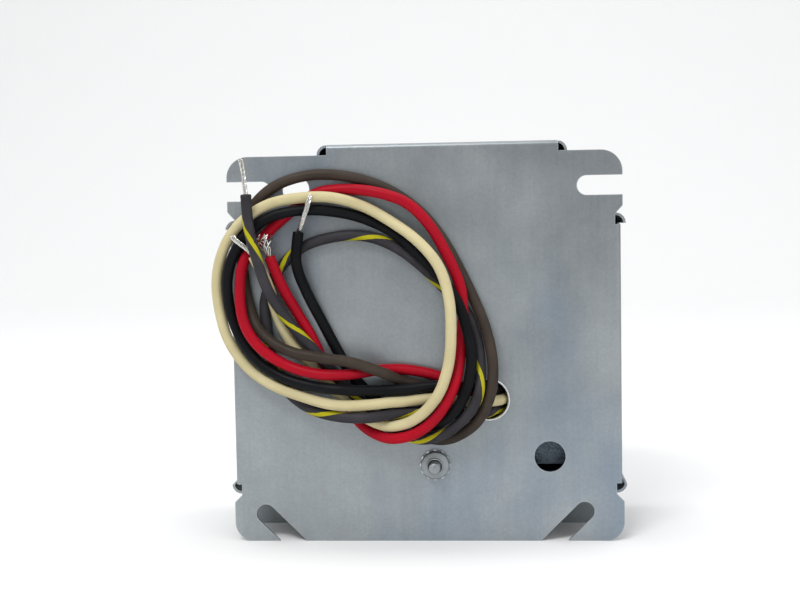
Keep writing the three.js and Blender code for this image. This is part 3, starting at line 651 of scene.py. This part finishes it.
def lead_looks():
    grey = striped_insulation(
        "insulation_grey", srgb(44, 43, 46), srgb(60, 58, 62), srgb(166, 158, 26), 0.0365, 0.13
    )
    return {
        "cream": insulation("insulation_cream", srgb(199, 188, 148), srgb(184, 173, 133)).material,
        "black": insulation("insulation_black", srgb(12, 13, 15), srgb(21, 22, 25)).material,
        "red": insulation("insulation_red", srgb(166, 12, 32), srgb(146, 14, 32)).material,
        "brown": insulation("insulation_brown", srgb(50, 43, 38), srgb(68, 59, 52)).material,
        "grey": grey,
    }


def finish_piece(obj, material, slot, *nodes, body="case"):
    obj.data.materials.clear()
    obj.data.materials.append(material)
    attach(obj, body)
    if nodes:
        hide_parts(*nodes)


# ---- small metal pieces on the back plate -----------------------------------------------------
def build_bushing(material):
    y = PLATE_Y
    lip = []
    for k in range(9):
        angle = math.pi * (0.5 + k / 8)
        lip.append(((7.78 + 0.52 * math.sin(angle)) * MM, y + (-0.72 + 0.42 * math.cos(angle)) * MM))
    profile = [
        (7.25 * MM, y + 0.4 * MM),
        (7.3 * MM, y - 0.5 * MM),
        *[(r, h) for r, h in reversed(lip)],
        (8.3 * MM, y - 0.32 * MM),
        (7.65 * MM, y - 0.3 * MM),
        (7.65 * MM, y + 1.5 * MM),
        (8.25 * MM, y + 1.5 * MM),
        (8.25 * MM, y + 1.9 * MM),
        (7.8 * MM, y + 2.0 * MM),
        (7.25 * MM, y + 1.0 * MM),
    ]
    obj = turned("bushing_lip", profile, EXIT_X, EXIT_Z, 96)
    finish_piece(obj, material, "bright_plate", "exit_bushing")


def threaded_stud(material):
    """The bonding screw: a helical thread from its tip to its head."""
    low, high = node_box("ground_screw")
    x, z = (low[0] + high[0]) / 2, (low[2] + high[2]) / 2
    tip, head = low[1], PLATE_Y + 0.0046
    around, pitch, radius, depth = 48, 0.0008, 0.0023, 0.00032
    count = int((head - tip) / (pitch / 8))
    vertices = []
    for i in range(count + 1):
        y = tip + (head - tip) * i / count
        for k in range(around):
            phase = ((y - tip) / pitch + k / around) % 1.0
            crest = 1 - abs(2 * phase - 1)
            taper = min(1.0, (y - tip + 0.0003) / 0.0009)
            r = (radius - depth * (1 - crest)) * (0.8 + 0.2 * taper)
            angle = 2 * math.pi * k / around
            vertices.append((x + r * math.cos(angle), y, z + r * math.sin(angle)))
    faces = [tuple(range(around))]
    for i in range(count):
        for k in range(around):
            n = (k + 1) % around
            a, b = i * around, (i + 1) * around
            faces.append((a + k, a + n, b + n, b + k))
    faces.append(tuple(count * around + k for k in range(around))[::-1])
    stud = make_object("stud", vertices, faces)
    make_outward(stud)
    stud.data.set_sharp_from_angle(angle=math.radians(50))
    cap = turned("stud_head", [
        (0, head), (0.0042, head), (0.0044, head + 0.0002), (0.0044, head + 0.0018),
        (0.0037, head + 0.0029), (0, high[1]),
    ], x, z)
    obj = merge("threaded_stud", [stud, cap])
    obj.data.set_sharp_from_angle(angle=math.radians(45))
    finish_piece(obj, material, "zinc_plate", "ground_screw")
    return x, z


def build_star_washer(material, x, z):
    """A flat ring with twisted teeth round its edge."""
    y = PLATE_Y - 0.0007
    parts = [turned("ring", [
        (0.00262, y - 0.0004), (0.0050, y - 0.0004), (0.0051, y - 0.0003),
        (0.0051, y + 0.0003), (0.0050, y + 0.0004), (0.00262, y + 0.0004),
    ], x, z)]
    teeth = 12
    for t in range(teeth):
        middle = 2 * math.pi * t / teeth
        corners = []
        for radius, half, twist in ((0.0049, 0.0007, 0.0), (0.0060, 0.00055, 0.00014)):
            for side, height in ((-1, -1), (1, -1), (1, 1), (-1, 1)):
                angle = middle + side * half / radius
                rise = height * 0.00028 + side * twist
                corners.append((x + radius * math.cos(angle), y + rise, z + radius * math.sin(angle)))
        faces = [(0, 1, 2, 3), (7, 6, 5, 4), (0, 4, 5, 1), (1, 5, 6, 2), (2, 6, 7, 3), (3, 7, 4, 0)]
        tooth = make_object("tooth", corners, faces, smooth=False)
        make_outward(tooth)
        parts.append(tooth)
    obj = merge("toothed_washer", parts)
    obj.data.set_sharp_from_angle(angle=math.radians(30))
    finish_piece(obj, material, "bright_plate", "star_washer")


def build_round_nut(material, x, z):
    y = PLATE_Y
    rim = [
        (5.4, -1.42), (5.5, -1.6), (5.5, -2.3), (5.42, -2.6), (5.25, -2.85), (4.9, -3.02),
        (4.4, -3.1),
    ]
    hub = [(3.5, -3.16), (3.25, -3.3), (3.2, -4.1), (3.08, -4.38), (2.8, -4.5), (2.6, -4.3)]
    profile = [(2.6, -1.4), *rim, *hub]
    obj = turned("collar_nut", [(r * MM, y + h * MM) for r, h in profile], x, z, 72)
    finish_piece(obj, material, "zinc_plate", "round_nut")


# ---- carried-over CAD nodes -------------------------------------------------------------------
def cad_looks():
    return {
        # case_steel gets painted light that lightens it towards the bottom.
        "case_steel": sheet_steel(
            "case_steel", srgb(131, 137, 140), srgb(143, 149, 152), srgb(156, 161, 163), 0.22
        ),
        "cover_paint": sheet_steel(
            "cover_paint", srgb(136, 142, 144), srgb(146, 152, 154), srgb(156, 162, 163)
        ),
        "bright_plate": plated("bright_plate", srgb(214, 216, 218), 0.22),
        "zinc_plate": plated("zinc_plate", srgb(156, 162, 164), 0.4),
        "galvanised": galvanised(),
        "board_green": board_green(),
        "black_plastic": plastic("black_plastic", srgb(30, 31, 33)),
        "yellow_film": plastic("yellow_film", srgb(206, 168, 46), 0.3),
        "button_plastic": plastic("button_plastic", srgb(38, 39, 42), 0.5),
        "varistor_blue": plastic("varistor_blue", srgb(42, 82, 150), 0.25),
        "fuse_body": plastic("fuse_body", srgb(190, 170, 130), 0.5),
        "led_epoxy": plastic("led_epoxy", srgb(150, 215, 150), 0.15),
        "clear_lens": clear_lens(),
    }


EDGE = {"rear_plate": 0.00028, "cover": 0.0003, "alarm_button": 0.00035, "filter_capacitor": 0.0008}


def dress_cad_nodes(looks):
    for entry in frame["record"]["subparts"]:
        obj = frame["nodes"][entry["node"]]
        if obj.hide_render:
            continue
        obj.data.materials.clear()
        obj.data.materials.append(looks[entry["material_slot"]])
        for polygon in obj.data.polygons:
            polygon.material_index = 0
        weld = obj.modifiers.new("weld", "WELD")
        weld.merge_threshold = 1e-6
        bevel(obj, EDGE.get(entry["node"], 0.00018))


# ---- scene ------------------------------------------------------------------------------------
def build_camera():
    """The view of the back plate, a little from the right and a little from above."""
    azimuth, elevation, roll = math.radians(4.13), math.radians(3.83), math.radians(-1.05)
    target = Vector((-0.00945, PLATE_Y, 0.09465))
    back = Vector((
        math.sin(azimuth) * math.cos(elevation),
        -math.cos(azimuth) * math.cos(elevation),
        math.sin(elevation),
    ))
    right = Vector((0, 0, 1)).cross(back).normalized()
    up = back.cross(right)
    turned_right = math.cos(roll) * right + math.sin(roll) * up
    turned_up = math.cos(roll) * up - math.sin(roll) * right
    data = bpy.data.cameras.new("camera")
    data.sensor_width = 36
    data.lens = 58.1
    data.clip_start = 0.01
    camera = bpy.data.objects.new("camera", data)
    bpy.context.scene.collection.objects.link(camera)
    pose = Matrix((turned_right, turned_up, back)).transposed().to_4x4()
    pose.translation = target + back * 0.5
    camera.matrix_world = pose
    bpy.context.scene.camera = camera


def area_light(name, place, aim, size, power):
    data = bpy.data.lights.new(name, "AREA")
    data.shape = "RECTANGLE"
    data.size, data.size_y = size
    data.energy = power
    obj = bpy.data.objects.new(name, data)
    obj.location = place
    obj.rotation_euler = (Vector(aim) - Vector(place)).to_track_quat("-Z", "Y").to_euler()
    bpy.context.scene.collection.objects.link(obj)


def backdrop():
    """A pale floor that curves up into a pale wall behind, so that no horizon shows."""
    profile = [(-14.0, 0.0), (1.2, 0.0)]
    profile += [(1.2 + math.sin(a), 1 - math.cos(a)) for a in np.linspace(0.1, math.pi / 2, 16)]
    profile.append((2.2, 4.0))
    vertices = [(x, y, z) for y, z in profile for x in (-12.0, 12.0)]
    faces = [(2 * i, 2 * i + 1, 2 * i + 3, 2 * i + 2) for i in range(len(profile) - 1)]
    sweep = make_object("backdrop", vertices, faces)
    look = Shader("backdrop", roughness=0.9, specular=0.05)
    look.colour(srgb(228, 228, 228))
    sweep.data.materials.append(look.material)


def build_world():
    """Daylight tent: bright above and behind, darker on the open side and low down."""
    world = bpy.data.worlds.new("world")
    world.use_nodes = True
    nodes = world.node_tree.nodes
    links = world.node_tree.links
    split = nodes.new("ShaderNodeSeparateXYZ")
    links.new(nodes.new("ShaderNodeTexCoord").outputs["Generated"], split.inputs[0])
    parts = []
    for axis, low, high in (("Y", -0.5, 0.3), ("Z", 0.1, 0.75)):
        part = nodes.new("ShaderNodeMapRange")
        part.interpolation_type = "SMOOTHSTEP"
        part.inputs["From Min"].default_value = low
        part.inputs["From Max"].default_value = high
        part.inputs["To Min"].default_value = 0.36
        part.inputs["To Max"].default_value = 1.05
        links.new(split.outputs[axis], part.inputs["Value"])
        parts.append(part.outputs["Result"])
    brighter = nodes.new("ShaderNodeMath")
    brighter.operation = "MAXIMUM"
    links.new(parts[0], brighter.inputs[0])
    links.new(parts[1], brighter.inputs[1])
    background = nodes["Background"]
    background.inputs["Color"].default_value = srgb(252, 253, 254)
    links.new(brighter.outputs[0], background.inputs["Strength"])
    return world


def build_studio():
    """Soft light from above on the open side, and one that lifts the wall behind."""
    area_light("key", (-0.35, -0.9, 1.1), (0, 0, 0.08), (0.5, 0.3), 9)
    area_light("fill", (0.8, -0.9, 0.5), (0, 0, 0.08), (0.8, 0.8), 2)
    area_light("wall", (0, 0.3, 2.2), (0, 1.9, 0.6), (2.5, 1.0), 24)
    backdrop()
    bpy.context.scene.world = build_world()
    bpy.context.scene.view_settings.view_transform = "Standard"


build_camera()
build_studio()
build_leads()
looks = cad_looks()
build_bushing(looks["bright_plate"])
stud_x, stud_z = threaded_stud(looks["zinc_plate"])
build_star_washer(looks["bright_plate"], stud_x, stud_z)
build_round_nut(looks["zinc_plate"], stud_x, stud_z)
dress_cad_nodes(looks)
